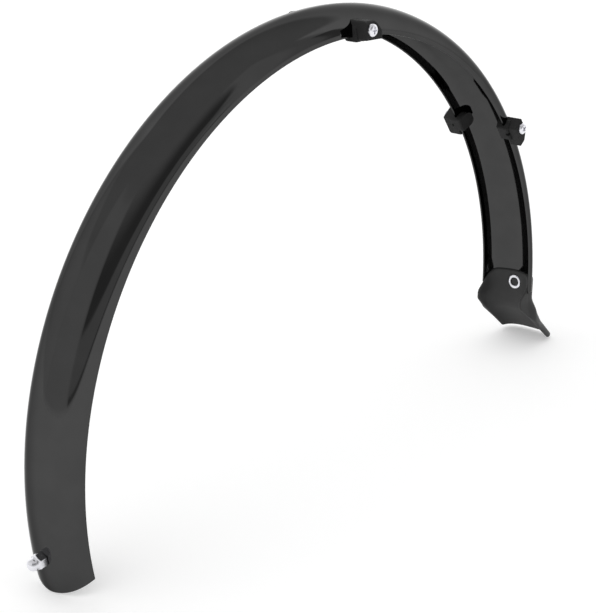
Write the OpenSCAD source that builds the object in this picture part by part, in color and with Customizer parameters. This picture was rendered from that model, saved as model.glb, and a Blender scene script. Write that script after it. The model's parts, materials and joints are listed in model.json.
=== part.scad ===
// Rear mudguard for a kick scooter with 20 inch wheels: a moulded arch with
// four stay clips, a front fixing bolt and a riveted mud flap.
// The origin is the wheel's centre: +X is the rear, +Z is up, and Y is the axle.

/* [Guard] */
// Radius from the wheel's centre to the guard's lower edges
edge_radius = 250; // [200:1:330]
// Width across the two edges
guard_width = 46.6; // [40:0.2:60]
// Height of the crown above the edges
crown_height = 18.8; // [16:0.1:24]
// Thickness of the moulded wall
wall = 1.5; // [1.2:0.1:2.2]
// Angle of the front end, from the rear horizontal over the top
front_end_angle = 192; // [180:0.5:200]
// Angle of the rear end, below the rear horizontal
rear_end_angle = 1.7; // [1.4:0.1:3]
// Radius of the rounded outline of both ends
end_radius = 48; // [40:1:80]

/* [Stay clips] */
// Angle of the upper pair of clips
top_clip_angle = 88; // [70:1:110]
// Angle of the rear pair of clips
rear_clip_angle = 36.5; // [25:0.5:50]
// Length of a clip along the edge
clip_length = 20; // [18:0.5:26]
// Distance of a clip's upright front side from its screw
clip_front = 6; // [5.6:0.1:8]
// Distance from the screw at which the top starts to slope down behind
clip_slope_start = 4.2; // [4:0.1:6]
// Height of a clip's blunt rear end
clip_tail_height = 3.2; // [2:0.1:5]
// Height of a clip's body above the edge
clip_height = 11.2; // [10.4:0.1:13]
// How far a clip's face stands out from the edge
clip_depth = 10.7; // [10.3:0.1:13]
// Thickness of the bridge under the edge
clip_bridge = 3.2; // [2:0.1:5]
// Width of the tongue inside the guard
tongue_width = 13; // [9:0.5:16]
// Height of the tongue above the edge
tongue_height = 10; // [7:0.5:12]
// Thickness of the tongue at its tip
tongue_thickness = 3.2; // [2:0.1:4]
// Diameter of the round stay that a clip holds
stay_diameter = 3.1; // [2.6:0.1:3.4]

/* [Screws] */
// Thread diameter of the clamp screws and the fixing bolt
thread_diameter = 5; // [4:0.5:5]
// Diameter of a clamp screw's head
screw_head_diameter = 8.6; // [7.5:0.1:9.5]
// Height of a clamp screw's head
screw_head_height = 2.8; // [2:0.1:3.5]
// Width across the flats of the square nuts in the clips
square_nut_width = 7.6; // [7:0.1:8]
// Thickness of the square nuts
square_nut_height = 2.6; // [2:0.1:2.7]

/* [Front fixing] */
// Distance of the fixing bolt from the front end, along the crown
bolt_distance = 25; // [18:0.5:40]
// Width across the flats of the cap nut
cap_nut_width = 8; // [7.5:0.1:10]
// Height of the cap nut's hexagon
cap_nut_hex_height = 4.6; // [3:0.1:6]
// Diameter of the cap nut's dome
cap_nut_dome = 7.2; // [6.8:0.1:7.4]
// Height of the whole cap nut
cap_nut_height = 10.2; // [9.5:0.1:12]
// Diameter of the washer under the bolt's head
washer_diameter = 12; // [10:0.5:14]
// Thickness of the washer
washer_height = 1; // [0.6:0.1:1.5]
// Diameter of the bolt's head
bolt_head_diameter = 9.5; // [8.5:0.1:10]
// Height of the bolt's head
bolt_head_height = 3; // [2.5:0.1:4]

/* [Mud flap] */
// Thickness of the flap
flap_wall = 2; // [1.6:0.1:2.4]
// Height of the flap's top edge above the rivet
flap_top = 10; // [8.5:0.5:14]
// Height of the flap's bottom edge below the rivet
flap_drop = 53; // [48:1:60]
// Angle at which the tail flares out from upright
flare_angle = 46; // [30:1:50]
// Radius of the bend into the flare, at the crown
flare_radius = 25; // [20:1:35]
// Width of the flap below the guard
flap_width = 48.4; // [46:0.2:56]
// Depth of the tail's channel at the bottom edge
tail_depth = 12; // [9:0.5:14]
// How far the ears reach in past the guard's edge
ear_reach = 8.8; // [5:0.2:12]

/* [Rivet] */
// Diameter of the rivet's head, and of its curled tail
rivet_flange = 11.4; // [9.5:0.1:12]
// Diameter of the blind bore in the rivet's tail
rivet_hole = 6.6; // [5.5:0.1:6.8]
// Thickness of the tail's wall
rivet_sheet = 0.7; // [0.5:0.1:0.9]
// Height of the rivet's domed head
rivet_head_height = 1.8; // [1.2:0.1:2.4]

/* [Fits] */
// Gap between a clip's jaws and the guard's wall
jaw_clearance = 0.15; // [0.1:0.05:0.3]
// Gap between the flap and the inside of the guard
flap_clearance = 0.15; // [0.1:0.05:0.3]
// Gap around a shank in its hole
hole_clearance = 0.2; // [0.1:0.05:0.3]
// Gap around a nut in its pocket
nut_clearance = 0.15; // [0.1:0.05:0.3]
// Gap on the diameter between a thread and its nut
thread_clearance = 0.1; // [0.06:0.02:0.2]
// Gap on the diameter around a stay in its socket
stay_clearance = 0.2; // [0.15:0.05:0.4]

/* [Hidden] */
$fn = 64;
near = -1;
far = 1;
half_width = guard_width / 2;
crown_radius = edge_radius + crown_height;
// The two powers of the superellipse that is the guard's cross-section
side_power = 1.72;
crown_power = 2.47;
section_steps = 24;
lip = wall / 2;
black = [0.07, 0.07, 0.075];
clip_black = [0.05, 0.05, 0.055];
flap_black = [0.09, 0.09, 0.095];
silver = [0.78, 0.78, 0.8];

// Cross-section of the guard

// Point of the superellipse at parameter a, from one edge over the crown to the other
function arch_point(a, w, h, p, q) =
    [w * sign(cos(a)) * pow(abs(cos(a)), 2 / p), h * pow(abs(sin(a)), 2 / q)];

// Outward unit normal of the superellipse at one of its points
function arch_normal(v, w, h, p, q) =
    let(
        g = [
            sign(v[0]) * p * pow(abs(v[0]) / w, p - 1) / w,
            q * pow(max(v[1], 0) / h, q - 1) / h
        ]
    ) g / norm(g);

// The superellipse moved outwards by d, from the far edge to the near one
function arch_line(d, w, h, p, q, first = 0) = [
    for (i = [0 : section_steps])
        let(
            a = first + (180 - 2 * first) * i / section_steps,
            v = arch_point(a, w, h, p, q)
        ) v + d * arch_normal(v, w, h, p, q)
];

function reversed(list) = [for (i = [len(list) - 1 : -1 : 0]) list[i]];

// Arc points about c, from angle a to angle b
function arc(c, r, a, b, steps) = [
    for (i = [0 : steps])
        let(t = a + (b - a) * i / steps) c + r * [cos(t), sin(t)]
];

// The guard's outline, moved by d, that starts where the rounded lip ends
lip_angle = asin(pow(lip / crown_height, crown_power / 2));
function guard_line(d) =
    arch_line(d, half_width, crown_height, side_power, crown_power, lip_angle);

// Distance of the guard's outer surface from the wheel's centre, y off its middle
function outer_radius(y) =
    edge_radius + crown_height
        * pow(1 - pow(abs(y) / half_width, side_power), 1 / crown_power);

// The wall in section: outer line, round lip, inner line, round lip
function wall_section() =
    let(
        outer = guard_line(0),
        inner = guard_line(-wall),
        last = len(outer) - 1,
        far_lip = (outer[0] + inner[0]) / 2,
        near_lip = (outer[last] + inner[last]) / 2
    ) concat(
        outer,
        arc(near_lip, lip, 180, 360, 8),
        reversed(inner),
        arc(far_lip, lip, 180, 360, 8)
    );

// Everything within the guard's outer surface, grown by the jaws' gap
function filled_section(gap) = concat(
    guard_line(gap),
    [[-half_width - gap, -gap], [half_width + gap, -gap]]
);

// The wall grown on both sides by the jaws' gap
function slot_section(gap) = concat(
    guard_line(gap),
    [[-half_width - gap, -gap], [-half_width + wall + gap, -gap]],
    reversed(guard_line(-wall - gap)),
    [[half_width - wall - gap, -gap], [half_width + gap, -gap]]
);

// Turns a section about the axle, between two angles
module sweep(section, from, to) {
    rotate([90, 0, 0])
        rotate([0, 0, from])
            rotate_extrude(angle = to - from, $fn = 90)
                polygon([for (v = section) [edge_radius + v[1], v[0]]]);
}

// Puts X along the radius at this angle, and Z along the guard, forwards
module at_angle(a) {
    rotate([0, -a, 0]) children();
}

// Takes off all that lies past the rounded end; way is 1 at the front, -1 at the rear
module end_cut(a, way) {
    deep = 60;
    at_angle(a)
        translate([edge_radius - deep / 3, 0, 0])
            rotate([0, 90, 0])
                difference() {
                    translate([-way * deep / 2 + way * deep / 4, 0, deep / 2])
                        cube([deep, guard_width + 20, deep], center = true);
                    translate([way * end_radius, 0, -1])
                        cylinder(r = end_radius, h = deep + 2, $fn = 180);
                }
}

bolt_angle = front_end_angle - bolt_distance / crown_radius * 180 / PI;
shank_hole = thread_diameter / 2 + hole_clearance;
rivet_shank = rivet_hole / 2 + rivet_sheet;

// A round hole straight out through the crown
module crown_hole(r) {
    translate([edge_radius, 0, 0])
        rotate([0, 90, 0])
            rotate([0, 0, 50]) cylinder(r = r, h = 30);
}

module guard_shell() {
    color(black)
        difference() {
            sweep(wall_section(), -rear_end_angle, front_end_angle);
            end_cut(front_end_angle, 1);
            end_cut(-rear_end_angle, -1);
            at_angle(bolt_angle) crown_hole(shank_hole);
            crown_hole(rivet_shank + hole_clearance);
        }
}

// Mud flap: a channel lofted along the crown, trimmed by its side outline

flap_half_top = half_width - wall - flap_clearance;
flap_height_top = crown_height - wall - flap_clearance;
flap_radius = edge_radius + flap_height_top;
flap_rise = asin(flap_top / flap_radius);
flap_turn = rear_end_angle;
tail_power = 3.4;

// Outward direction of the channel's crown where its run leans by a from upright
function lean(a) = [cos(a), sin(a)];

// Crown points of the loft: [x, z, lean, share of the way to the tail's section]
bend_start = flap_radius * lean(-flap_turn);
bend_centre = bend_start + flare_radius * lean(-flap_turn);
bend_end = bend_centre - flare_radius * lean(flare_angle);
tail_run = (bend_end[1] + flap_drop) / cos(flare_angle) + 16;
guard_stations = [
    for (i = [0 : 4])
        let(a = flap_rise + 1 - (flap_rise + 1 + flap_turn) * i / 4)
            concat(flap_radius * lean(a), [a, 0])
];
bend_stations = [
    for (i = [1 : 7])
        let(a = -flap_turn + (flare_angle + flap_turn) * i / 7)
            concat(bend_centre - flare_radius * lean(a), [a, i / 7])
];
tail_stations = [
    for (i = [1 : 4])
        concat(
            bend_end + tail_run * i / 4 * [sin(flare_angle), -cos(flare_angle)],
            [flare_angle, 1 + i / 4]
        )
];
stations = concat(guard_stations, bend_stations, tail_stations);

// Share of the widening that is done at this share of the way, eased at both ends
function eased(s) = let(t = min(max(s, 0), 1)) t * t * (3 - 2 * t);
function between(a, b, s) = a + (b - a) * s;

// One ring of the channel: [across, inwards from the crown]
function flap_ring(s) =
    let(
        w = between(flap_half_top, flap_width / 2, eased(s * 2)),
        h = between(flap_height_top, tail_depth, eased(s / 1.6)),
        p = between(side_power, tail_power, eased(s / 1.3)),
        ear = ear_reach + 8,
        line = arch_line(0, w, h, p, crown_power),
        back = arch_line(-flap_wall, w, h, p, crown_power),
        outer = concat([[w, -ear]], line, [[-w, -ear]]),
        inner = concat([[w - flap_wall, -ear]], back, [[flap_wall - w, -ear]])
    ) [for (v = concat(outer, reversed(inner))) [v[0], h - v[1]]];

function placed_ring(st) = [
    for (v = flap_ring(st[3]))
        [st[0] - v[1] * cos(st[2]), v[0], st[1] - v[1] * sin(st[2])]
];

module channel() {
    rings = [for (st = stations) placed_ring(st)];
    n = len(rings[0]);
    count = len(rings);
    half = n / 2;
    sides = [
        for (j = [0 : count - 2], i = [0 : n - 1])
            let(a = j * n + i, b = j * n + (i + 1) % n)
                each [[a, b, b + n], [a, b + n, a + n]]
    ];
    first_cap = [
        for (i = [0 : half - 2])
            each [[i, n - 1 - i, n - 2 - i], [i, n - 2 - i, i + 1]]
    ];
    last_cap = [
        for (f = first_cap)
            [for (k = reversed(f)) k + (count - 1) * n]
    ];
    polyhedron(
        points = [for (ring = rings) each ring],
        faces = concat(sides, first_cap, last_cap),
        convexity = 8
    );
}

// Side outline of the flap: top edge, ear, slanting edge and the flat bottom
ear_x = edge_radius - ear_reach;
module flap_outline() {
    ear_round = 5;
    offset(r = ear_round)
        offset(delta = -ear_round)
            polygon([
                [flap_radius + 6, flap_top],
                [flap_radius - 6, flap_top],
                [ear_x - 1, -6.5],
                [ear_x, -14],
                [ear_x + flap_drop - 7, -flap_drop],
                [flap_radius + flap_drop + 20, -flap_drop],
                [flap_radius + flap_drop + 20, flap_top - 18]
            ]);
}

// The flat recess that takes the rivet's inner flange: its radius, its depth
// at the sides, and its floor's distance from the wheel's centre
seat_radius = rivet_flange / 2 + 0.5;
seat_depth = 0.8;
rivet_seat = flap_radius - flap_wall
    - (crown_radius - outer_radius(seat_radius)) + seat_depth;

module mud_flap() {
    color(flap_black)
        difference() {
            intersection() {
                channel();
                rotate([90, 0, 0])
                    linear_extrude(height = flap_width + 20, center = true)
                        flap_outline();
            }
            crown_hole(rivet_shank + hole_clearance);
            translate([rivet_seat - 40, 0, 0])
                rotate([0, 90, 0])
                    cylinder(r = seat_radius, h = 40);
        }
}

// Tubular rivet: a domed head outside, a hollow tail curled over inside
module flap_rivet() {
    bore = rivet_hole / 2;
    head = rivet_flange / 2;
    curl = rivet_sheet / 2;
    grip = crown_radius - rivet_seat;
    rim = 0.5;
    rise = rivet_head_height - rim;
    dome = (head * head + rise * rise) / (2 * rise);
    color(silver)
        translate([rivet_seat, 0, 0])
            rotate([0, 90, 0])
                rotate_extrude()
                    polygon(concat(
                        [[0, grip + rivet_head_height], [0, grip - rim]],
                        [[bore, grip - rim], [bore, -curl]],
                        arc([bore + rivet_sheet, -curl], rivet_sheet, 180, 270, 6),
                        arc([head - curl, -rivet_sheet], curl, -90, 0, 6),
                        [[head, 0], [rivet_shank, 0]],
                        [[rivet_shank, grip], [head, grip]],
                        [
                            for (i = [0 : 9])
                                let(r = head * (1 - i / 10))
                                    [r, grip + rim + rise - dome + sqrt(dome * dome - r * r)]
                        ]
                    ));
}

// Front fixing: bolt and washer inside, cap nut outside

// The washer rests on the inner wall at both sides of the crown
washer_seat = outer_radius(washer_diameter / 2 + 0.8) - wall - 0.1;

module front_washer() {
    color(silver)
        at_angle(bolt_angle)
            translate([washer_seat - washer_height, 0, 0])
                rotate([0, 90, 0])
                    difference() {
                        cylinder(d = washer_diameter, h = washer_height);
                        translate([0, 0, -1])
                            cylinder(r = shank_hole, h = washer_height + 2);
                    }
}

module front_bolt() {
    under_head = washer_seat - washer_height;
    shank = crown_radius + cap_nut_hex_height - under_head;
    edge_round = 1.6;
    head = bolt_head_diameter / 2;
    socket = thread_diameter * 0.55;
    color(silver)
        at_angle(bolt_angle)
            translate([under_head, 0, 0])
                rotate([0, 90, 0])
                    difference() {
                        rotate_extrude()
                            polygon(concat(
                                [[0, shank]],
                                [[0, -bolt_head_height]],
                                arc([head - edge_round, edge_round - bolt_head_height],
                                    edge_round, -90, 0, 8),
                                [[head, 0], [thread_diameter / 2, 0]],
                                [[thread_diameter / 2, shank - 0.5]],
                                [[thread_diameter / 2 - 0.5, shank]]
                            ));
                        translate([0, 0, -bolt_head_height - 1])
                            cylinder(r = socket, h = bolt_head_height * 0.6 + 1, $fn = 6);
                    }
}

module front_cap_nut() {
    across = cap_nut_width / cos(30);
    cone = (across - cap_nut_width) / 2;
    dome = cap_nut_dome / 2;
    neck = cap_nut_height - dome;
    bore = thread_diameter / 2 + thread_clearance / 2;
    color(silver)
        at_angle(bolt_angle)
            translate([crown_radius, 0, 0])
                rotate([0, 90, 0])
                    difference() {
                        union() {
                            intersection() {
                                cylinder(d = across, h = cap_nut_hex_height, $fn = 6);
                                cylinder(
                                    r1 = across / 2 + cap_nut_hex_height * 2 - cone,
                                    r2 = across / 2 - cone,
                                    h = cap_nut_hex_height
                                );
                            }
                            rotate_extrude()
                                polygon(concat(
                                    [[0, 0.5], [dome, 0.5]],
                                    arc([0, neck], dome, 0, 90, 12)
                                ));
                        }
                        translate([0, 0, -1])
                            cylinder(r = bore, h = cap_nut_hex_height + 1.6);
                    }
}

// Stay clips: a body outside the wall, a bridge under the edge, a tongue inside

face_y = half_width + clip_depth;
foot = clip_bridge - jaw_clearance;
screw_rise = 5.2;
screw_x = edge_radius + screw_rise;
nut_x = square_nut_width / 2 + nut_clearance;
stay_bore = (stay_diameter + stay_clearance) / 2;
// The stay's socket runs close outside the wall, the nut outside the socket
stay_y = half_width + jaw_clearance + 0.9 + stay_bore;
nut_y = stay_y + stay_bore + 0.7;
screw_tip_y = stay_y + stay_bore + 0.15;

// Outline with its corners rounded: each corner is [x, y, radius]
function corner(prev, here, next) =
    let(
        v = [here[0], here[1]],
        a = [prev[0], prev[1]] - v,
        b = [next[0], next[1]] - v,
        ua = a / norm(a),
        ub = b / norm(b),
        half = acos(ua * ub) / 2,
        bis = (ua + ub) / norm(ua + ub),
        c = v + bis * here[2] / sin(half),
        p = v + ua * here[2] / tan(half) - c,
        q = v + ub * here[2] / tan(half) - c,
        t0 = atan2(p[1], p[0]),
        turn = (atan2(q[1], q[0]) - t0 + 540) % 360 - 180,
        steps = 6
    ) here[2] == 0
        ? [v]
        : [for (i = [0 : steps]) c + here[2] * [cos(t0 + turn * i / steps), sin(t0 + turn * i / steps)]];

function rounded(list) = [
    for (i = [0 : len(list) - 1])
        each corner(
            list[(i + len(list) - 1) % len(list)],
            list[i],
            list[(i + 1) % len(list)]
        )
];

// A clip lies on the edge at this angle; side is -1 for near and 1 for far
module clip_place(a, side) {
    at_angle(a)
        mirror([0, side < 0 ? 1 : 0, 0])
            children();
}

// Body outside the wall: upright in front, sloped behind, with a blunt end.
// Its outline from the wheel's side is [outwards, backwards]
module clip_body() {
    inner_y = half_width - 8;
    relief = jaw_clearance + 0.7;
    low = edge_radius - 1.4;
    high = edge_radius + clip_height;
    rear = clip_length - clip_front;
    draft = 0.7;
    intersection() {
        rotate([-90, 0, 0])
            linear_extrude(height = face_y)
                polygon(rounded([
                    [low, rear, 1],
                    [low + clip_tail_height, rear, 1.2],
                    [high, clip_slope_start, 3],
                    [high, draft - clip_front, 1.5],
                    [low, -clip_front, 1]
                ]));
        translate([0, 0, -rear - 1])
            linear_extrude(height = clip_length + 2)
                polygon(rounded([
                    [low - 1, half_width + relief, 0],
                    [low - 1, face_y, 1.5],
                    [high, face_y, 3],
                    [high, inner_y, 0],
                    [edge_radius + 0.8, inner_y, 0],
                    [edge_radius + 0.8, half_width + 0.05, 0]
                ]));
        rotate([0, 90, 0])
            linear_extrude(height = high + 1)
                polygon(rounded([
                    [-clip_front, inner_y, 0],
                    [-clip_front, face_y, 1.2],
                    [rear, face_y, 3],
                    [rear, inner_y, 0]
                ]));
    }
}

// Bridge and tongue: one plate with a round tip, thinner towards the tip
module clip_tongue() {
    low = edge_radius - clip_bridge;
    high = edge_radius + tongue_height;
    wide = tongue_width / 2;
    tip_y = half_width * 0.78 - wall - tongue_thickness;
    root_y = half_width - wall - tongue_thickness - 1;
    intersection() {
        rotate([-90, 0, 0])
            linear_extrude(height = face_y - 2)
                polygon(rounded([
                    [low, -wide, 1],
                    [high, -wide, wide - 0.6],
                    [high, wide, wide - 0.6],
                    [low, wide, 1]
                ]));
        translate([0, 0, -wide - 1])
            linear_extrude(height = tongue_width + 2)
                polygon(rounded([
                    [low, root_y, 2],
                    [high, tip_y, 1],
                    [high, half_width + 1, 0],
                    [edge_radius + 1, half_width + 4, 0],
                    [low, half_width + 4, 1.5]
                ]));
    }
}

module clip(a, side) {
    span = clip_length / edge_radius * 120;
    color(clip_black)
        clip_place(a, side)
            difference() {
                union() {
                    difference() {
                        clip_body();
                        sweep(filled_section(jaw_clearance), -span / 2, span / 2);
                    }
                    difference() {
                        clip_tongue();
                        sweep(slot_section(jaw_clearance), -span / 2, span / 2);
                    }
                }
                // Socket for the stay, from the edge side outwards
                translate([edge_radius - 6, stay_y, 0])
                    rotate([0, 90, 0])
                        cylinder(r = stay_bore, h = 6 + clip_height - 2.4);
                // Hole for the clamp screw, down to the stay
                translate([screw_x, stay_y, 0])
                    rotate([-90, 0, 0])
                        cylinder(r = shank_hole, h = clip_depth + 10);
                // Room for the square nut, moulded in around the screw's hole
                translate([screw_x - nut_x, nut_y, -nut_x])
                    cube([
                        2 * nut_x,
                        square_nut_height + 2 * nut_clearance,
                        2 * nut_x
                    ]);
            }
}

module screw(a, side) {
    round_edge = 1.7;
    head = screw_head_diameter / 2;
    shank = face_y - screw_tip_y;
    slot = 1.1;
    color(silver)
        clip_place(a, side)
            translate([screw_x, face_y, 0])
                rotate([-90, 0, 0])
                    difference() {
                        rotate_extrude()
                            polygon(concat(
                                [[0, -shank]],
                                [[thread_diameter / 2 - 0.5, -shank]],
                                [[thread_diameter / 2, 0.5 - shank]],
                                [[thread_diameter / 2, 0], [head, 0]],
                                arc([head - round_edge, screw_head_height - round_edge],
                                    round_edge, 0, 90, 8),
                                [[0, screw_head_height]]
                            ));
                        for (turn = [0, 90])
                            rotate([0, 0, turn])
                                translate([-2.4, -slot / 2, screw_head_height - 1.5])
                                    cube([4.8, slot, 3]);
                    }
}

module square_nut(a, side) {
    bore = (thread_diameter + thread_clearance) / 2;
    color(silver)
        clip_place(a, side)
            translate([screw_x, nut_y + nut_clearance, 0])
                rotate([-90, 0, 0])
                    difference() {
                        translate([-square_nut_width / 2, -square_nut_width / 2, 0])
                            cube([square_nut_width, square_nut_width, square_nut_height]);
                        translate([0, 0, -1])
                            cylinder(r = bore, h = square_nut_height + 2);
                    }
}

guard_shell();
mud_flap();
flap_rivet();
front_bolt();
front_washer();
front_cap_nut();
clip(top_clip_angle, near);  // clip_top_near
clip(top_clip_angle, far);  // clip_top_far
clip(rear_clip_angle, near);  // clip_rear_near
clip(rear_clip_angle, far);  // clip_rear_far
screw(top_clip_angle, near);  // screw_top_near
screw(top_clip_angle, far);  // screw_top_far
screw(rear_clip_angle, near);  // screw_rear_near
screw(rear_clip_angle, far);  // screw_rear_far
square_nut(top_clip_angle, near);  // nut_top_near
square_nut(top_clip_angle, far);  // nut_top_far
square_nut(rear_clip_angle, near);  // nut_rear_near
square_nut(rear_clip_angle, far);  // nut_rear_far
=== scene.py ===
# %% [markdown]
# # Rear mudguard of a kick scooter
#
# The mudguard is a glossy black channel bent over the rear wheel. Four nylon
# clips sit on its edges, a bolt holds its front end, and a softer flap is
# riveted into its rear end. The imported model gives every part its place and
# size. This lesson gives each of them its final surface and its finish.
# Lengths below are in millimetres, as on a drawing, and are turned into
# metres where they go into a mesh.

# %% Frame and measures
import json
import bpy
import bmesh
import numpy as np
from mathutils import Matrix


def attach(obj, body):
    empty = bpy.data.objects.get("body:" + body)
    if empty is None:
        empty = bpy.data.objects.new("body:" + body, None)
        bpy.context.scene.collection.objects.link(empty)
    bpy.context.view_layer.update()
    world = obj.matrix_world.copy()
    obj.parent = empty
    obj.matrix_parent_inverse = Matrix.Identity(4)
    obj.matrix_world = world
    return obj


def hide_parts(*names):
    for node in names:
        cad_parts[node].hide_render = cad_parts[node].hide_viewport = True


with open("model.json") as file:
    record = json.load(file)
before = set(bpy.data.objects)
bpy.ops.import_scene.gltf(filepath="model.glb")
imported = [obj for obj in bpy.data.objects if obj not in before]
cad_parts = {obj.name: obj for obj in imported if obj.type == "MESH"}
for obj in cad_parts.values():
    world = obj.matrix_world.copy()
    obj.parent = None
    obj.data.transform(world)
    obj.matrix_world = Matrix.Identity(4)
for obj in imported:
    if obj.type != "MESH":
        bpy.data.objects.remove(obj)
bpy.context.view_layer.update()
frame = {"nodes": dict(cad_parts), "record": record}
MM = 0.001
print("parts in the frame:", len(frame["nodes"]))

# %% [markdown]
# ## Camera
#
# The two long edges of the guard are circles about the wheel's centre. Where
# they appear in a picture fixes the camera fully: its place, its aim and its
# focal length. The camera here is set from those three directions, because
# that keeps the match closer than aiming by eye.

# %% Camera
IMAGE_HEIGHT = 613
FOCAL_PIXELS = 1427.64
SENSOR = 36.0
CAMERA_PLACE = (-0.74443, -0.60415, 0.42116)
CAMERA_RIGHT = (0.643038, -0.765834, 0.0)
CAMERA_UP = (0.273649, 0.229772, 0.933981)


def set_camera():
    """Makes the camera: its matrix holds right, up and backwards as columns."""
    right = np.array(CAMERA_RIGHT)
    up = np.array(CAMERA_UP)
    matrix = np.eye(4)
    matrix[:3, 0] = right
    matrix[:3, 1] = up
    matrix[:3, 2] = np.cross(right, up)
    matrix[:3, 3] = CAMERA_PLACE
    data = bpy.data.cameras.new("camera")
    data.sensor_width = SENSOR
    data.lens = FOCAL_PIXELS * SENSOR / IMAGE_HEIGHT
    camera = bpy.data.objects.new("camera", data)
    camera.matrix_world = matrix.T.tolist()
    bpy.context.scene.collection.objects.link(camera)
    bpy.context.scene.camera = camera
    return camera


camera = set_camera()
print("lens:", round(camera.data.lens, 2), "mm")

# %% [markdown]
# ## Turning arrays into meshes
#
# Every new surface here is a grid: rows of points worked out together as one
# array. Neighbouring rows are joined by quads. Where two grids meet, doubled
# points are merged, so the mesh is closed like the moulding it stands for.

# %% Grid helpers


def grid_faces(rows, columns, close_rows=False, close_columns=False):
    """Quads between neighbours (i, j), (i, j+1), (i+1, j+1), (i+1, j) of a grid."""
    i = np.arange(rows if close_rows else rows - 1)
    j = np.arange(columns if close_columns else columns - 1)
    i, j = np.meshgrid(i, j, indexing="ij")
    down = (i + 1) % rows
    right = (j + 1) % columns
    near, far = i * columns, down * columns
    return np.stack((near + j, near + right, far + right, far + j), -1).reshape(-1, 4)


def edge_use(mesh):
    """The edge number of every face corner; an edge used once is open."""
    use = np.zeros(len(mesh.loops), np.int32)
    mesh.loops.foreach_get("edge_index", use)
    return use


def make_piece(name, points, faces, merge=1e-6):
    """A smooth mesh object from points in millimetres and faces, doubles merged."""
    mesh = bpy.data.meshes.new(name)
    places = np.asarray(points).reshape(-1, 3) * MM
    mesh.from_pydata(places.tolist(), [], np.asarray(faces).tolist())
    bm = bmesh.new()
    bm.from_mesh(mesh)
    bmesh.ops.remove_doubles(bm, verts=bm.verts, dist=merge)
    loose = [v for v in bm.verts if not v.link_faces]
    bmesh.ops.delete(bm, geom=loose, context="VERTS")
    bmesh.ops.recalc_face_normals(bm, faces=bm.faces)
    for face in bm.faces:
        face.smooth = True
    bm.to_mesh(mesh)
    bm.free()
    piece = bpy.data.objects.new(name, mesh)
    bpy.context.scene.collection.objects.link(piece)
    open_edges = int((np.bincount(edge_use(mesh)) == 1).sum())
    print(name, "faces:", len(mesh.polygons), "open edges:", open_edges)
    return piece


# %% [markdown]
# ## Shape of the guard
#
# Cut across, the guard is a superellipse: flanks that stand nearly straight
# and a crown that is rounder than a circle's. It could be drawn as a curve by
# hand, but a formula keeps the flanks and the crown in one smooth sweep, which
# a glossy surface needs: every wobble would show in its reflections. The wall
# is that line given a thickness, with a half-round edge all the way along.

# %% Section of the guard
EDGE_RADIUS = 250.0
HALF_WIDTH = 23.3
CROWN_HEIGHT = 18.8
SIDE_POWER = 1.72
CROWN_POWER = 2.47
WALL = 1.5
LIP = WALL / 2
CROWN_RADIUS = EDGE_RADIUS + CROWN_HEIGHT


def superellipse(angle, width, height, side_power, crown_power):
    """Width times cos to 2/side power, height times sin to 2/crown power; and the normal."""
    cosine = np.cos(angle)
    sine = np.clip(np.sin(angle), 0, 1)
    y = width * np.sign(cosine) * np.abs(cosine) ** (2 / side_power)
    z = height * sine ** (2 / crown_power)
    slope_y = np.sign(y) * side_power * (np.abs(y) / width) ** (side_power - 1) / width
    slope_z = crown_power * (z / height) ** (crown_power - 1) / height
    normal = np.stack([slope_y, slope_z], -1)
    return np.stack([y, z], -1), normal / np.linalg.norm(normal, axis=-1, keepdims=True)


def evenly(points, count):
    """Shares along a line at which count + 1 points lie evenly by length."""
    length = np.concatenate([[0], np.cumsum(np.linalg.norm(np.diff(points, axis=0), axis=1))])
    even = np.linspace(0, length[-1], count + 1)
    return np.interp(even, length, np.linspace(0, 1, len(points)))


def guard_section(count):
    """Outer points and normals, evenly spaced from the far lip to the near one."""
    first = np.arcsin((LIP / CROWN_HEIGHT) ** (CROWN_POWER / 2))
    fine = np.linspace(first, np.pi - first, 2001)
    line, _ = superellipse(fine, HALF_WIDTH, CROWN_HEIGHT, SIDE_POWER, CROWN_POWER)
    angle = first + (np.pi - 2 * first) * evenly(line, count)
    return superellipse(angle, HALF_WIDTH, CROWN_HEIGHT, SIDE_POWER, CROWN_POWER)


section, section_normals = guard_section(72)
print("section width:", round(float(np.ptp(section[:, 0])), 2), "mm")

# %% [markdown]
# ## Surface of the guard
#
# The real guard is moulded as one arch, and its two ends are cut round. A
# straight channel could be bent over a curve with a modifier, but the ends and
# their edges would be pulled askew. So the ring of the section is carried
# about the axle instead, between two end angles that depend on the place
# across. Towards each end the wall thins as a half circle does, which gives
# the ends the same round edge as the sides.

# %% Guard surface
FRONT_END = np.radians(192.0)
REAR_END = np.radians(-1.7)
END_RADIUS = 48.0
GUARD_ROWS = 440
END_STEPS = 5
LIP_STEPS = 8


def wall_ring(line, normals, half_thickness, wall):
    """Closed ring round a wall: outer line, half-round lip, inner line, half-round lip."""
    middle = line - normals * wall / 2
    outer = middle + normals * half_thickness
    inner = middle - normals * half_thickness
    turn = np.pi * np.arange(1, LIP_STEPS) / LIP_STEPS
    lips = []
    for end, way in ((-1, 1), (0, -1)):
        across = normals[end] * way
        down = np.array([across[1], -across[0]])
        if down[1] > 0:
            down = -down
        arc = np.cos(turn)[:, None] * across + np.sin(turn)[:, None] * down
        lips.append(middle[end] + half_thickness * arc)
    return np.concatenate([outer, lips[0], inner[::-1], lips[1]])


def end_angle(end, way, across, radius, inset):
    """Polar angle where the guard stops: its end is round, with the radius END_RADIUS."""
    run = np.sqrt(END_RADIUS**2 - across**2) - END_RADIUS - inset
    return end + way * np.arcsin(run / radius)


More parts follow.
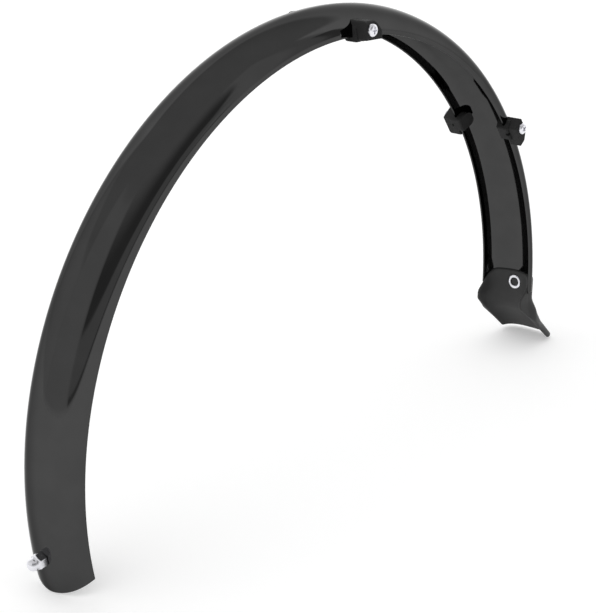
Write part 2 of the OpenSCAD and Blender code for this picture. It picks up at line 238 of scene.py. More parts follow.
def guard_points(line, normals):
    """The ring carried about the axle between the round ends, whose edges are half-round."""
    round_off = np.linspace(np.pi / 2, 0, END_STEPS)
    body = np.linspace(0, 1, GUARD_ROWS)
    shares = np.concatenate([np.zeros(END_STEPS), body, np.ones(END_STEPS)])
    shrink = np.concatenate([round_off, np.zeros(GUARD_ROWS), round_off[::-1]])
    rows = []
    for share, angle in zip(shares, shrink):
        ring = wall_ring(line, normals, LIP * np.cos(angle), WALL)
        inset = LIP * (1 - np.sin(angle))
        radius = EDGE_RADIUS + ring[:, 1]
        rear = end_angle(REAR_END, -1, ring[:, 0], radius, inset)
        front = end_angle(FRONT_END, 1, ring[:, 0], radius, inset)
        polar = rear + (front - rear) * share
        rows.append(np.stack([radius * np.cos(polar), ring[:, 0], radius * np.sin(polar)], -1))
    return np.array(rows)


guard_grid = guard_points(section, section_normals)
guard_faces = grid_faces(*guard_grid.shape[:2], close_columns=True)
guard_shell = make_piece("guard_skin", guard_grid, guard_faces)
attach(guard_shell, "root")
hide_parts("guard_shell")

# %% [markdown]
# ## Shape of the mud flap
#
# The flap is a softer moulding, riveted inside the guard's rear end. It starts
# as a channel that fits the guard from within, bends backwards, and ends as a
# wide, flatter tail. Its sides are cut to an outline that is plain only when
# seen from the side: two ears, a slanting edge and a level bottom. Cutting a
# finished tube with that outline would leave ragged triangles along the cut.
# Here the outline is first laid onto the channel, in two coordinates: the way
# along its crown and the girth down its side. A patch of even rows is then
# stretched between the crown line and the outline, so rows follow the edges.

# %% Course of the flap
FLAP_FIT = 0.15
FLAP_RADIUS = CROWN_RADIUS - WALL - FLAP_FIT
FLARE_RADIUS = 25.0
FLARE = np.radians(46.0)
TAIL_WIDTH = 24.2
TAIL_DEPTH = 12.0
TAIL_POWER = 3.4
BEND_LENGTH = FLARE_RADIUS * (FLARE - REAR_END)
TAIL_RUN = 54.0
# Where each change from the guard's section to the tail's is done; 1 is the bend's end
WIDTH_DONE = 0.5
DEPTH_DONE = 1.6
POWER_DONE = 1.3
# The sides run straight on to this depth below the section
SKIRT_DEPTH = 40.0
SLOPE_STEP = 0.4


def direction(angle):
    """Unit vectors (cos angle, sin angle) in the plane of the wheel."""
    return np.stack([np.cos(angle), np.sin(angle)], -1)


BEND_CENTRE = (FLAP_RADIUS + FLARE_RADIUS) * direction(REAR_END)


def crown_line(way):
    """Crown point and lean angle: round the wheel, then the bend, then straight."""
    guard_angle = REAR_END - np.minimum(way, 0) / FLAP_RADIUS
    bend_angle = REAR_END + np.clip(way, 0, BEND_LENGTH) / FLARE_RADIUS
    lean = np.where(way < 0, guard_angle, bend_angle)
    on_guard = FLAP_RADIUS * direction(guard_angle)
    in_bend = BEND_CENTRE - FLARE_RADIUS * direction(bend_angle)
    past = np.maximum(way - BEND_LENGTH, 0)[..., None]
    in_bend = in_bend + past * np.array([np.sin(FLARE), -np.cos(FLARE)])
    return np.where((way < 0)[..., None], on_guard, in_bend), lean


def eased(share):
    """Share of a change that is done: 3 t squared less 2 t cubed, t kept in 0 to 1."""
    t = np.clip(share, 0, 1)
    return t * t * (3 - 2 * t)


def mix(start, end, share):
    """Value at this share of the way from start to end."""
    return start + (end - start) * share


WAYS = np.linspace(-30, BEND_LENGTH + 50, 500)
GIRTHS = np.linspace(0, 60, 301)


def girth_tables():
    """For each way and girth: distance across and depth below the crown, as two tables."""
    share = np.clip(WAYS / BEND_LENGTH, 0, 1) + np.maximum(WAYS - BEND_LENGTH, 0) / TAIL_RUN
    widths = mix(HALF_WIDTH - WALL - FLAP_FIT, TAIL_WIDTH, eased(share / WIDTH_DONE))
    depths = mix(CROWN_HEIGHT - WALL - FLAP_FIT, TAIL_DEPTH, eased(share / DEPTH_DONE))
    powers = mix(SIDE_POWER, TAIL_POWER, eased(share / POWER_DONE))
    angle = np.linspace(np.pi / 2, 0, 1201)
    across, down = [], []
    for width, depth, power in zip(widths, depths, powers):
        line, _ = superellipse(angle, width, depth, power, CROWN_POWER)
        line = np.concatenate([line, [[width, -SKIRT_DEPTH]]])
        length = np.concatenate([[0], np.cumsum(np.linalg.norm(np.diff(line, axis=0), axis=1))])
        across.append(np.interp(GIRTHS, length, line[:, 0]))
        down.append(depth - np.interp(GIRTHS, length, line[:, 1]))
    return np.array(across), np.array(down)


across_table, depth_table = girth_tables()


def looked_up(table, way, girth):
    """Bilinear reading of a table at any way and girth."""
    i = np.clip((way - WAYS[0]) / (WAYS[1] - WAYS[0]), 0, len(WAYS) - 1.001)
    j = np.clip(girth / (GIRTHS[1] - GIRTHS[0]), 0, len(GIRTHS) - 1.001)
    i0, j0 = i.astype(int), j.astype(int)
    u, v = i - i0, j - j0
    low = mix(table[i0, j0], table[i0, j0 + 1], v)
    high = mix(table[i0 + 1, j0], table[i0 + 1, j0 + 1], v)
    return mix(low, high, u)


def flap_point(way, girth):
    """Outer surface point and outward normal of the channel at a way and a girth."""
    crown, lean = crown_line(way)
    side = np.sign(girth)
    girth = np.abs(girth)
    across = looked_up(across_table, way, girth)
    depth = looked_up(depth_table, way, girth)
    more, less = girth + SLOPE_STEP, np.maximum(girth - SLOPE_STEP, 0)
    run = looked_up(across_table, way, more) - looked_up(across_table, way, less)
    fall = looked_up(depth_table, way, more) - looked_up(depth_table, way, less)
    fall = fall * np.minimum(girth / SLOPE_STEP, 1)
    size = np.hypot(run, fall)
    run, fall = run / size, fall / size
    outwards = direction(lean)
    x = crown[..., 0] - depth * outwards[..., 0]
    z = crown[..., 1] - depth * outwards[..., 1]
    point = np.stack([x, across * side, z], -1)
    normal = np.stack([run * outwards[..., 0], fall * side, run * outwards[..., 1]], -1)
    return point, normal


print("flap bend:", round(float(BEND_LENGTH), 1), "mm long")

# %% [markdown]
# ## Outline of the flap
#
# Seen from the side, the flap is cut to a few straight lines with a rounded
# ear. The corners are drawn in that side view, where they are easy to read.
# Each point of the outline is then found on the channel: the plane across the
# crown that holds the point gives its way, and its depth in that plane gives
# its girth. Reading both from the tables made above is quicker than solving
# for them, and near enough to follow the line smoothly.

# %% Outline of the flap
FLAP_WALL = 2.0
FLAP_TOP = 10.0
FLAP_DROP = 53.0
EAR_X = EDGE_RADIUS - 8.8
EAR_ROUND = 5.0
EDGE_ROUND = FLAP_WALL / 2
ARC_POINTS = 25
TRACE_POINTS = 9001
TAIL_CORNER = (EAR_X + FLAP_DROP - 7, -FLAP_DROP)
# The top edge from outside the crown inwards, the ear, and the slanting edge
# down to the bottom edge, which runs out past the crown
FLAP_CORNERS = [
    (FLAP_RADIUS + 6, FLAP_TOP),
    (FLAP_RADIUS - 6, FLAP_TOP),
    (EAR_X - 1, -6.5),
    (EAR_X, -14.0),
    TAIL_CORNER,
    (FLAP_RADIUS + FLAP_DROP + 20, -FLAP_DROP),
]


def rounded_path(corners, inset, radius):
    """An open path moved inwards, with its inner corners rounded by arcs."""
    corners = np.array(corners)
    run = np.diff(corners, axis=0)
    run /= np.linalg.norm(run, axis=1, keepdims=True)
    inwards = np.stack([-run[:, 1], run[:, 0]], -1)
    share = np.linspace(0, 1, ARC_POINTS)[:, None]
    path = [corners[:1] + inset * inwards[0]]
    for corner, before, after in zip(corners[1:-1], inwards[:-1], inwards[1:]):
        bisector = (before + after) / (1 + before @ after)
        centre = corner + (inset + radius) * bisector
        spokes = -mix(before, after, share)
        path.append(centre + radius * spokes / np.linalg.norm(spokes, axis=1, keepdims=True))
    path.append(corners[-1:] + inset * inwards[-1])
    return np.concatenate(path)


def on_channel(path):
    """Way and girth of each point of a side outline, from the plane across the crown there."""
    length = np.concatenate([[0], np.cumsum(np.linalg.norm(np.diff(path, axis=0), axis=1))])
    dense = np.linspace(0, length[-1], TRACE_POINTS)
    path = np.stack([np.interp(dense, length, path[:, k]) for k in (0, 1)], -1)
    crown, lean = crown_line(WAYS)
    travel = np.stack([np.sin(lean), -np.cos(lean)], -1)
    ahead = np.einsum("pk,wk->pw", path, travel) - np.einsum("wk,wk->w", crown, travel)
    index = np.argmax(ahead < 0, axis=1)
    rows = np.arange(len(path))
    before, after = ahead[rows, index - 1], ahead[rows, index]
    way = WAYS[index - 1] + (WAYS[1] - WAYS[0]) * before / (before - after)
    crown, lean = crown_line(way)
    depth = np.einsum("pk,pk->p", crown - path, direction(lean))
    inside = depth > 1e-3
    way, depth = way[inside], depth[inside]
    row = np.clip(np.searchsorted(WAYS, way), 0, len(WAYS) - 1)
    girth = np.array([np.interp(d, depth_table[r], GIRTHS) for d, r in zip(depth, row)])
    way = np.concatenate([way[:1], way, way[-1:]])
    return way, np.concatenate([[0.0], girth, [0.0]])


flap_side = rounded_path(FLAP_CORNERS, EDGE_ROUND, EAR_ROUND - EDGE_ROUND)
edge_way, edge_girth = on_channel(flap_side)
print("deepest girth of the flap:", round(float(edge_girth.max()), 1), "mm")

# %% [markdown]
# ## Stretching the flap
#
# Four curves bound one half of the flap: the crown line, the top edge out to
# the ear, the slanting edge, and the bottom edge. Blending opposite curves
# fills the half with even rows. The other half is its mirror image. The wall
# is then built on both sides of this middle surface, and its cut edge is
# rounded over, as the edge of a soft moulding is. At the top the real moulding
# is a sleeve round the guard's end. Only its outside is seen, so it gets no
# slot here: the outer side of the wall is moved out past the guard, and the
# guard's end is buried in the flap. The two meshes overlap there.

# %% Flap surface
FLAP_ROWS = 96
FLAP_COLUMNS = 56
RECESS_RADIUS = 7.6
RECESS_SOFTNESS = 1.6
RIVET_SEAT = 265.21
SLEEVE = 3.0
SLEEVE_END = 8.0
SLEEVE_FADE = 24.0
# The skin starts to thin this far outside the guard's edges, over this width
SLEEVE_RISE = 12.0
SLEEVE_WIDTH = 10.0


def sleeve(point, way):
    """How far the outer skin stands out: full over the guard's end, fading to its edges."""
    along = 1 - eased((way - SLEEVE_END) / SLEEVE_FADE)
    from_axle = np.hypot(point[..., 0], point[..., 2])
    inwards = eased((EDGE_RADIUS + SLEEVE_RISE - from_axle) / SLEEVE_WIDTH)
    return SLEEVE * along * (1 - inwards)


def stretch_of(first, last, count):
    """Way and girth along a stretch of the outline, evenly spaced in space."""
    way, girth = edge_way[first:last + 1], edge_girth[first:last + 1]
    places, _ = flap_point(way, girth)
    share = evenly(places, count)
    steps = np.linspace(0, 1, len(way))
    return np.stack([np.interp(share, steps, way), np.interp(share, steps, girth)], -1)


def blended_patch(left, right, top, bottom):
    """Sum of the two blends between opposite sides, less the blend of the four corners."""
    p = np.linspace(0, 1, len(left))[:, None, None]
    q = np.linspace(0, 1, len(top))[None, :, None]
    across = mix(left[:, None], right[:, None], q)
    down = mix(top[None], bottom[None], p)
    corners = mix(mix(left[0], right[0], q), mix(left[-1], right[-1], q), p)
    return across + down - corners


def flap_patch():
    """Ways and girths of the whole flap, its two halves joined at the crown."""
    places, _ = flap_point(edge_way, edge_girth)
    low = int(np.argmin(np.hypot(*(places[:, [0, 2]] - np.array(TAIL_CORNER)).T)))
    ear = int(np.argmax(edge_girth))
    last = len(edge_way) - 1
    crown_ways = np.linspace(edge_way[0], edge_way[-1], FLAP_ROWS + 1)
    crown = np.stack([crown_ways, np.zeros(FLAP_ROWS + 1)], -1)
    top = stretch_of(0, ear, FLAP_COLUMNS)
    slant = stretch_of(ear, low, FLAP_ROWS)
    bottom = stretch_of(low, last, FLAP_COLUMNS)[::-1]
    half = blended_patch(crown, slant, top, bottom)
    mirrored = half[:, :0:-1] * np.array([1, -1])
    return np.concatenate([mirrored, half], axis=1)


def rim_loop(grid):
    """The points round the border of a grid, in order."""
    return np.concatenate([grid[0, :-1], grid[:-1, -1], grid[-1, :0:-1], grid[:0:-1, 0]])


def flap_mesh():
    """Outer side, inner side with the rivet's recess, and the rounded rim between them.

    A point of the rim is the border's middle, plus the cosine of a turn along
    the normal and its sine outwards; the sleeve makes the cosine part longer.
    """
    patch = flap_patch()
    outer, normal = flap_point(patch[..., 0], patch[..., 1])
    middle = outer - EDGE_ROUND * normal
    extra = sleeve(outer, patch[..., 0])[..., None]
    outer = outer + extra * normal
    inner = middle - EDGE_ROUND * normal
    from_rivet = np.hypot(inner[..., 1], inner[..., 2])
    seat = eased((RECESS_RADIUS - from_rivet) / RECESS_SOFTNESS)
    inner[..., 0] = mix(inner[..., 0], np.maximum(inner[..., 0], RIVET_SEAT), seat)
    rim, rim_normal, rim_extra = rim_loop(middle), rim_loop(normal), rim_loop(extra)
    along = np.roll(rim, -1, axis=0) - np.roll(rim, 1, axis=0)
    outwards = np.cross(along, rim_normal)
    outwards /= np.linalg.norm(outwards, axis=1, keepdims=True)
    if np.sum(outwards * (rim - middle.mean(axis=(0, 1)))) < 0:
        outwards = -outwards
    turn = np.linspace(0, np.pi, 7)[:, None, None]
    half = EDGE_ROUND + rim_extra / 2
    edge = rim + (half - EDGE_ROUND + half * np.cos(turn)) * rim_normal
    edge = edge + EDGE_ROUND * np.sin(turn) * outwards
    points = np.concatenate([outer.reshape(-1, 3), inner.reshape(-1, 3), edge.reshape(-1, 3)])
    sheet = grid_faces(*outer.shape[:2])
    rim_faces = grid_faces(*edge.shape[:2], close_columns=True)
    count = outer.shape[0] * outer.shape[1]
    return points, np.concatenate([sheet, sheet + count, rim_faces + 2 * count])


mud_flap = make_piece("flap_skin", *flap_mesh())
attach(mud_flap, "root")
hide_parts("mud_flap")

# %% [markdown]
# ## Rivet
#
# A tubular rivet is a short metal tube. Its tail is rolled outwards inside the
# flap, which leaves a bright rounded ring round its bore; the bore's darkness is
# painted shade in the rivet's colour. Outside it has a low domed head. Such a
# part is round all over, so it is a profile turned about its axis: a lathe in
# arrays. Only the profile has to be drawn.

# %% Rivet surface
RIVET_BORE = 3.3
RIVET_SHANK = 4.0
RIVET_HEAD = 5.7
RING_RADIUS = 6.4
RING_HEIGHT = 1.3
HEAD_HEIGHT = 1.8
HEAD_EDGE = 0.5
RING_OVERLAP = 0.1
BORE_FLOOR = CROWN_RADIUS - 0.5


def rivet_profile():
    """Distance from the axis and place along it: bore, half-round ring, shank, domed head."""
    turn = np.linspace(0, np.pi, 17)
    middle, half = (RING_RADIUS + RIVET_BORE) / 2, (RING_RADIUS - RIVET_BORE) / 2
    ring = np.stack([middle - half * np.cos(turn), RIVET_SEAT - RING_HEIGHT * np.sin(turn)], -1)
    share = np.linspace(1, 0, 12)
    dome = CROWN_RADIUS + HEAD_EDGE + (HEAD_HEIGHT - HEAD_EDGE) * np.sqrt(1 - share**2)
    head = np.stack([RIVET_HEAD * share, dome], -1)
    inside = [(0.0, BORE_FLOOR), (RIVET_BORE, BORE_FLOOR)]
    shank = [(RIVET_SHANK, RIVET_SEAT + RING_OVERLAP), (RIVET_SHANK, CROWN_RADIUS)]
    return np.concatenate([inside, ring, shank, [(RIVET_HEAD, CROWN_RADIUS)], head])


def turned(profile, steps=72):
    """The profile turned about the X axis: place along it, then r cos and r sin."""
    turn = 2 * np.pi * np.arange(steps) / steps
    radius, place = profile[:, :1], profile[:, 1:]
    grid = np.stack([place + 0 * turn, radius * np.cos(turn), radius * np.sin(turn)], -1)
    return grid, grid_faces(*grid.shape[:2], close_columns=True)


flap_rivet = make_piece("rivet_skin", *turned(rivet_profile()))
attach(flap_rivet, "root")
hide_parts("flap_rivet")

# %% [markdown]
# ## Cap nut
#
# The cap nut is a hexagon with its top corners turned off, and a ball-ended
# cap on it. It is made like the rivet, as rings round an axis, but in the
# hexagon's rows the radius follows the six flats, and never passes the cone
# that the lathe left. Its axis is then turned to the bolt's place on the crown.

# %% Cap nut surface
NUT_FLATS = 9.4
HEX_HEIGHT = 5.0
DOME_RADIUS = 4.1
NUT_HEIGHT = 11.2
CHAMFER_WIDTH = 0.7
CHAMFER_SLOPE = 1.7
BOLT_DISTANCE = 25.0
BOLT_ANGLE = FRONT_END - BOLT_DISTANCE / CROWN_RADIUS


def nut_grid(steps=144):
    """Rings of the nut: distance from the crown, then across, then along the guard.

    A ring's radius is half the width over flats, divided by the cosine of the
    angle to the nearest flat's middle, or the cone's radius where that is less.
    """
    turn = 2 * np.pi * np.arange(steps) / steps
    flats = NUT_FLATS / 2 / np.cos((turn + np.pi / 6) % (np.pi / 3) - np.pi / 6)
    corner = NUT_FLATS / 2 / np.cos(np.pi / 6)
    rise = np.concatenate([[0.0, 0.0], np.linspace(0.3, HEX_HEIGHT, 28)])
    cone = corner - CHAMFER_WIDTH + CHAMFER_SLOPE * (HEX_HEIGHT - rise)
    rings = np.minimum(flats[None], cone[:, None])
    rings[0] = 0
    lift = np.linspace(0, np.pi / 2, 20)
    straight = NUT_HEIGHT - DOME_RADIUS
    dome_rise = np.concatenate([[HEX_HEIGHT], straight + DOME_RADIUS * np.sin(lift)])
    dome = np.concatenate([[DOME_RADIUS], DOME_RADIUS * np.cos(lift)])
    radius = np.concatenate([rings, np.repeat(dome[:, None], steps, axis=1)])
    rise = np.concatenate([rise, dome_rise])[:, None] + 0 * turn
    return np.stack([rise, radius * np.cos(turn), radius * np.sin(turn)], -1)


def at_polar(grid, angle, radius):
    """Carries an axis from X to this angle about the wheel, and out to this radius."""
    out, across, along = np.moveaxis(grid, -1, 0)
    out = out + radius
    x = out * np.cos(angle) - along * np.sin(angle)
    z = out * np.sin(angle) + along * np.cos(angle)
    return np.stack([x, across, z], -1)


nut_points = at_polar(nut_grid(), BOLT_ANGLE, CROWN_RADIUS)
nut_faces = grid_faces(*nut_points.shape[:2], close_columns=True)
cap_nut = make_piece("cap_nut_skin", nut_points, nut_faces)
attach(cap_nut, "root")
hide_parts("front_cap_nut")

# %% [markdown]
# ## Finishes
#
# On the real guard nothing of the plastic itself is seen: it is so black that
# every grey on it is the room, mirrored at about a seventeenth of its
# brightness, and nearly as strongly at the rim as in the middle. A clear coat
# over black would mirror far more towards the rim. So the finish is made as a
# dim mirror: a metallic surface with a very dark colour, and an edge tint that
# holds the rise at the rim down. Slow noise makes the polish slightly uneven,
# as on any moulding.
#
# The flap is the same grey in all directions, so it is a matt plastic with only
# a little shine, and so is the darker nylon of the clips. Screws, cap nut and
# rivet are bright plated metal, and the parts inside the guard are plain zinc.

# %% Finish helpers
SLOW_NOISE = 60.0
# Painted shade in the rivet's bore: the black it is painted, and how far past the bore it
# reaches, in mm
BORE_SHADE_BLACK = (0.012, 0.012, 0.013, 1)
BORE_SHADE_MARGIN = 0.35


def new_finish(name):
    """A new material using nodes: its default Principled shader and the output."""
    material = bpy.data.materials.new(name)
    material.use_nodes = True
    return material, material.node_tree.nodes, material.node_tree.links


def noise(nodes, links, scale, detail=3.0):
    """A noise texture on the object's own coordinates, in features per metre."""
    coordinates = nodes.new("ShaderNodeTexCoord")
    texture = nodes.new("ShaderNodeTexNoise")
    texture.inputs["Scale"].default_value = scale
    texture.inputs["Detail"].default_value = detail
    links.new(coordinates.outputs["Object"], texture.inputs["Vector"])
    return texture


def spread(nodes, links, source, low, high):
    """Maps a texture's middle range onto low to high."""
    ranges = nodes.new("ShaderNodeMapRange")
    ranges.inputs["From Min"].default_value = 0.3
    ranges.inputs["From Max"].default_value = 0.7
    ranges.inputs["To Min"].default_value = low
    ranges.inputs["To Max"].default_value = high
    links.new(source, ranges.inputs["Value"])
    return ranges.outputs["Result"]


def bump(nodes, links, source, height, target):
    """Raises the surface by height metres where the source is one."""
    node = nodes.new("ShaderNodeBump")
    node.inputs["Strength"].default_value = 1.0
    node.inputs["Distance"].default_value = height
    links.new(source, node.inputs["Height"])
    links.new(node.outputs["Normal"], target.inputs["Normal"])


def shade(nodes, links, source, dark, light):
    """A colour between dark and light, by a texture."""
    ramp = nodes.new("ShaderNodeValToRGB")
    ramp.color_ramp.elements[0].position = 0.35
    ramp.color_ramp.elements[0].color = (*dark, 1)
    ramp.color_ramp.elements[1].position = 0.65
    ramp.color_ramp.elements[1].color = (*light, 1)
    links.new(source, ramp.inputs["Fac"])
    return ramp.outputs["Color"]


def speckle(nodes, links, shader, dark, light, roughness, grain, height):
    """Slow noise in colour and roughness, and a fine grain in the bump."""
    slow = noise(nodes, links, SLOW_NOISE).outputs["Fac"]
    fine = noise(nodes, links, grain, 2.0).outputs["Fac"]
    links.new(shade(nodes, links, slow, dark, light), shader.inputs["Base Color"])
    links.new(spread(nodes, links, slow, *roughness), shader.inputs["Roughness"])
    bump(nodes, links, fine, height, shader)


def surface(name, dark, light, roughness, edge_tint, grain, height):
    """A mirror of the given colour and polish; edge_tint holds its rim down."""
    material, nodes, links = new_finish(name)
    shader = nodes["Principled BSDF"]
    shader.inputs["Metallic"].default_value = 1.0
    shader.inputs["Specular Tint"].default_value = (edge_tint, edge_tint, edge_tint, 1)
    speckle(nodes, links, shader, dark, light, roughness, grain, height)
    return material


def matt(name, dark, light, roughness, shine, grain, height):
    """A matt plastic: its own colour, with only a little shine over it."""
    material, nodes, links = new_finish(name)
    shader = nodes["Principled BSDF"]
    shader.inputs["Specular IOR Level"].default_value = shine
    speckle(nodes, links, shader, dark, light, roughness, grain, height)
    return material


def compare(nodes, links, value, limit):
    """One where the value is below the limit, else zero."""
    node = nodes.new("ShaderNodeMath")
    node.operation = "LESS_THAN"
    node.inputs[1].default_value = limit
    links.new(value, node.inputs[0])
    return node.outputs[0]


def paint_bore_shade(material, bore, depth):
    """Painted shade: blackens the colour within a bore round the X axis, nearer the wheel than
    depth.
    """
    nodes, links = material.node_tree.nodes, material.node_tree.links
    shader = nodes["Principled BSDF"]
    colour = shader.inputs["Base Color"].links[0].from_socket
    coordinates = nodes.new("ShaderNodeTexCoord")
    parts = nodes.new("ShaderNodeSeparateXYZ")
    links.new(coordinates.outputs["Object"], parts.inputs[0])
    flat = nodes.new("ShaderNodeCombineXYZ")
    links.new(parts.outputs["Y"], flat.inputs["Y"])
    links.new(parts.outputs["Z"], flat.inputs["Z"])
    distance = nodes.new("ShaderNodeVectorMath")
    distance.operation = "LENGTH"
    links.new(flat.outputs[0], distance.inputs[0])
    within = compare(nodes, links, distance.outputs["Value"], bore * MM)
    below = compare(nodes, links, parts.outputs["X"], depth * MM)
    both = nodes.new("ShaderNodeMath")
    both.operation = "MULTIPLY"
    links.new(within, both.inputs[0])
    links.new(below, both.inputs[1])
    # Painted shade: the colour is mixed to black inside the bore
    blend = nodes.new("ShaderNodeMix")
    blend.data_type = "RGBA"
    links.new(both.outputs[0], blend.inputs["Factor"])
    links.new(colour, blend.inputs["A"])
    blend.inputs["B"].default_value = BORE_SHADE_BLACK
    links.new(blend.outputs["Result"], shader.inputs["Base Color"])
    return material


def grey(level, blue=1.0):
    """A neutral colour, or one with its blue raised by a factor."""
    return (level, level, level * blue)


# Dark and light colour, range of roughness, edge tint or shine, grains per
# metre, and height of the grain in metres
GLOSS = (grey(0.0575), grey(0.0615), (0.05, 0.09), 0.47, 900.0, 2e-7)
SATIN = (grey(0.041), grey(0.047), (0.4, 0.5), 0.07, 1800.0, 2e-6)
NYLON = (grey(0.02), grey(0.025), (0.5, 0.6), 0.05, 2600.0, 4e-6)
BRIGHT = (grey(0.74, 1.05), grey(0.84, 1.05), (0.14, 0.22), 1.0, 1200.0, 5e-7)
ZINC = (grey(0.5, 1.05), grey(0.62, 1.05), (0.28, 0.4), 1.0, 1600.0, 1e-6)

finishes = {
    "guard_plastic": surface("gloss_black", *GLOSS),
    "flap_plastic": matt("satin_black", *SATIN),
    "clip_plastic": matt("nylon_black", *NYLON),
    "bright_metal": surface("bright_plate", *BRIGHT),
    "zinc_steel": surface("zinc_plate", *ZINC),
}
rivet_plate_bore_shade = surface("rivet_plate_bore_shade", *BRIGHT)
# The rivet's bore gets painted shade: its colour is blackened there
rivet_bore_shade_finish = paint_bore_shade(rivet_plate_bore_shade, RIVET_BORE + BORE_SHADE_MARGIN, CROWN_RADIUS)
print("finishes:", ", ".join(finishes))

# %% [markdown]
# ## Finishes on the pieces
#
# The record names a finish for each part, so the imported parts get theirs from
# that list in one loop. The new surfaces get the finish of the part that each
# stands for. The rivet has its own copy of the bright plate, with painted shade
# in the bore: its colour is blackened there, where a real tube shows hardly any
# light.

# %% Finishes on the pieces
node_slots = {part["node"]: part["material_slot"] for part in frame["record"]["subparts"]}


def finish_piece(piece, material):
    """Gives a piece one finish in place of what it had."""
    piece.data.materials.clear()
    piece.data.materials.append(material)


for node_name, node_object in frame["nodes"].items():
    finish_piece(node_object, finishes[node_slots[node_name]])
finish_piece(frame["nodes"]["flap_rivet"], rivet_bore_shade_finish)
finish_piece(guard_shell, finishes["guard_plastic"])
finish_piece(mud_flap, finishes["flap_plastic"])
finish_piece(flap_rivet, rivet_bore_shade_finish)
finish_piece(cap_nut, finishes["bright_metal"])
print("finished nodes:", len(node_slots))

# %% [markdown]
# ## Floor and light
#
# The guard stands in a white studio tent. The floor and the soft light are
# plain white, and they alone light the object. The floor lies just under the
# guard's lowest point. Its own faint glow keeps it white in the picture and
# softens the shadow. The glow also lights the object a little from below;
# limiting it to camera rays would avoid that.

# %% Floor
FLOOR_HEIGHT = -56.0
FLOOR_SIZE = 8.0


def make_floor():
    """A white sheet just under the guard's lowest point."""
    half = FLOOR_SIZE / 2 / MM
    corners = [(-half, -half), (half, -half), (half, half), (-half, half)]
    points = [(x, y, FLOOR_HEIGHT) for x, y in corners]
    floor = make_piece("floor", points, [(0, 1, 2, 3)])
    material, nodes, links = new_finish("floor_white")
    shader = nodes["Principled BSDF"]
    shader.inputs["Base Color"].default_value = (0.78, 0.78, 0.78, 1)
    shader.inputs["Roughness"].default_value = 1.0
    shader.inputs["Specular IOR Level"].default_value = 0.0
    shader.inputs["Emission Color"].default_value = (1, 1, 1, 1)
    shader.inputs["Emission Strength"].default_value = 0.3
    floor.data.materials.append(material)
    return floor


make_floor()
print("floor at", FLOOR_HEIGHT, "mm")

# %% [markdown]
# ## Walls of the tent
#
# What a glossy black surface shows is the walls of the tent, which are not all
# equally bright: the floor and the side panels are bright, the seams between
# them dark. So the world has the walls painted in, by compass direction and
# height, but only for rays that come off a mirroring surface. Their places
# and levels were fitted to what the guard mirrors in the picture. A
# light at each wall could do the same, with more noise and with edges that are
# harder to place. For the rays that light matt surfaces, the tent goes evenly
# from dim on one side to bright on the other, by the difference set below.

# %% Walls of the tent
UPPER_LEVEL = 0.68
BRIGHTER_SIDE = (-0.643, 0.766, 0.0)
SIDE_DIFFERENCE = 0.6
HORIZON_BLUR = 0.6
# Each wall: the direction its compass angle counts from, then left, right, low
# and high limits, width of its soft borders and of its upper one, all in
# degrees, and its brightness.
WALLS = {
    "left panel": ("front", -32, 20, -2, 56, 6, 6, 0.84),
    "right panel": ("rear", -72, -48, -2, 60, 5, 5, 0.84),
    "back panel": ("rear", 94, 148, -2, 32, 6, 6, 0.86),
    "far panel": ("rear", -38, 92, -2, 42, 6, 6, 1.2),
    "low wall": ("rear", -156, -62, -2, 20, 5, 5, 0.62),
    "upper seam": ("rear", -156, -66, 18, 47, 4, 34, 0.24),
    "floor seam": ("rear", -156, -54, -1, 2, 1.5, 1.5, 0.24),
    "corner seam": ("rear", -42, -36, -1, 26, 2, 2, 0.3),
}


def plug(links, value, socket):
    """Links a socket to what a node gives, or sets it to a plain number."""
    if isinstance(value, (int, float)):
        socket.default_value = value
    else:
        links.new(value, socket)


def world_math(nodes, links, operation, first, second=0.0):
    """One math node on one or two values."""
    node = nodes.new("ShaderNodeMath")
    node.operation = operation
    plug(links, first, node.inputs[0])
    plug(links, second, node.inputs[1])
    return node.outputs[0]


def choice(nodes, links, share, low, high):
    """The low value where the share is zero, the high one where it is one."""
    node = nodes.new("ShaderNodeMix")
    plug(links, share, node.inputs[0])
    plug(links, low, node.inputs[2])
    plug(links, high, node.inputs[3])
    return node.outputs[0]


def step_up(nodes, links, value, start, end):
    """Zero below start, one above end, eased between them; reversed if end is lower."""
    ranges = nodes.new("ShaderNodeMapRange")
    ranges.interpolation_type = "SMOOTHSTEP"
    ranges.inputs["From Min"].default_value = np.radians(min(start, end))
    ranges.inputs["From Max"].default_value = np.radians(max(start, end))
    ranges.inputs["To Min"].default_value = 0.0 if end > start else 1.0
    ranges.inputs["To Max"].default_value = 1.0 if end > start else 0.0
    links.new(value, ranges.inputs["Value"])
    return ranges.outputs["Result"]


def band(nodes, links, value, low, high, soft, fade):
    """One between two limits, with a soft border at the low one and a fade at the high one."""
    up = step_up(nodes, links, value, low - soft / 2, low + soft / 2)
    down = step_up(nodes, links, value, high + fade / 2, high - fade / 2)
    return world_math(nodes, links, "MULTIPLY", up, down)


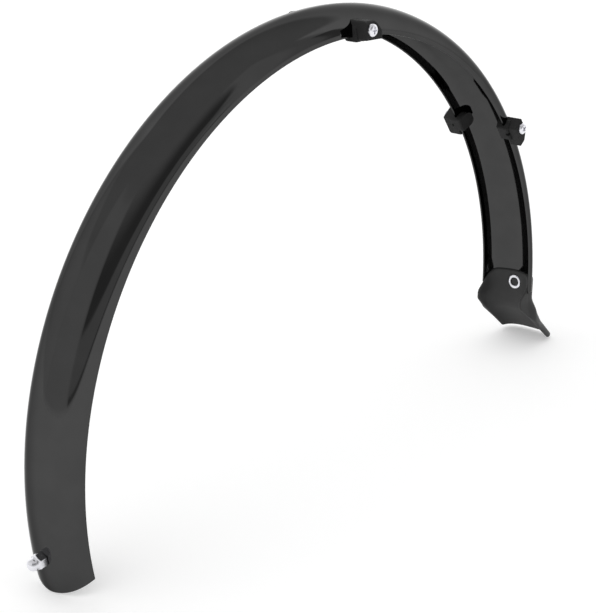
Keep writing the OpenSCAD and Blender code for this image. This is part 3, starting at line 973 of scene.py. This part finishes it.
def mirrored_walls(nodes, links, direction_parts):
    """Brightness by direction: an even tent, then each wall laid over it by its mask."""
    x, y, z = direction_parts
    minus_x = world_math(nodes, links, "MULTIPLY", x, -1.0)
    minus_y = world_math(nodes, links, "MULTIPLY", y, -1.0)
    compass = {
        "rear": world_math(nodes, links, "ARCTAN2", y, x),
        "front": world_math(nodes, links, "ARCTAN2", minus_y, minus_x),
    }
    rise = world_math(nodes, links, "ARCSINE", z)
    level = choice(nodes, links, step_up(nodes, links, rise, 1, -1), UPPER_LEVEL, 1.0)
    above_floor = step_up(nodes, links, rise, -HORIZON_BLUR, HORIZON_BLUR)
    for origin, left, right, low, high, soft, fade, bright in WALLS.values():
        across = band(nodes, links, compass[origin], left, right, soft, soft)
        upwards = band(nodes, links, rise, low, high, soft, fade)
        mask = world_math(nodes, links, "MULTIPLY", across, upwards)
        mask = world_math(nodes, links, "MULTIPLY", mask, above_floor)
        level = choice(nodes, links, mask, level, bright)
    return level


def soft_light(nodes, links, heading):
    """Plain light, more from one side: one plus the difference times the heading's cosine."""
    side = nodes.new("ShaderNodeVectorMath")
    side.operation = "DOT_PRODUCT"
    side.inputs[1].default_value = BRIGHTER_SIDE
    links.new(heading, side.inputs[0])
    ranges = nodes.new("ShaderNodeMapRange")
    ranges.inputs["From Min"].default_value = -1.0
    ranges.inputs["To Min"].default_value = 1 - SIDE_DIFFERENCE
    ranges.inputs["To Max"].default_value = 1 + SIDE_DIFFERENCE
    links.new(side.outputs["Value"], ranges.inputs["Value"])
    return ranges.outputs["Result"]


def make_world():
    """White for the eye, soft light for matt surfaces, and the walls for mirrored rays."""
    world = bpy.data.worlds.new("world")
    bpy.context.scene.world = world
    world.use_nodes = True
    nodes, links = world.node_tree.nodes, world.node_tree.links
    heading = nodes.new("ShaderNodeTexCoord").outputs["Generated"]
    parts = nodes.new("ShaderNodeSeparateXYZ")
    links.new(heading, parts.inputs[0])
    walls = mirrored_walls(nodes, links, parts.outputs)
    plain = soft_light(nodes, links, heading)
    rays = nodes.new("ShaderNodeLightPath").outputs
    level = choice(nodes, links, rays["Is Glossy Ray"], plain, walls)
    level = choice(nodes, links, rays["Is Camera Ray"], level, 1.0)
    links.new(level, nodes["Background"].inputs["Strength"])
    nodes["Background"].inputs["Color"].default_value = (1, 1, 1, 1)


make_world()
bpy.context.scene.view_settings.view_transform = "Standard"
print("walls in the world:", len(WALLS))
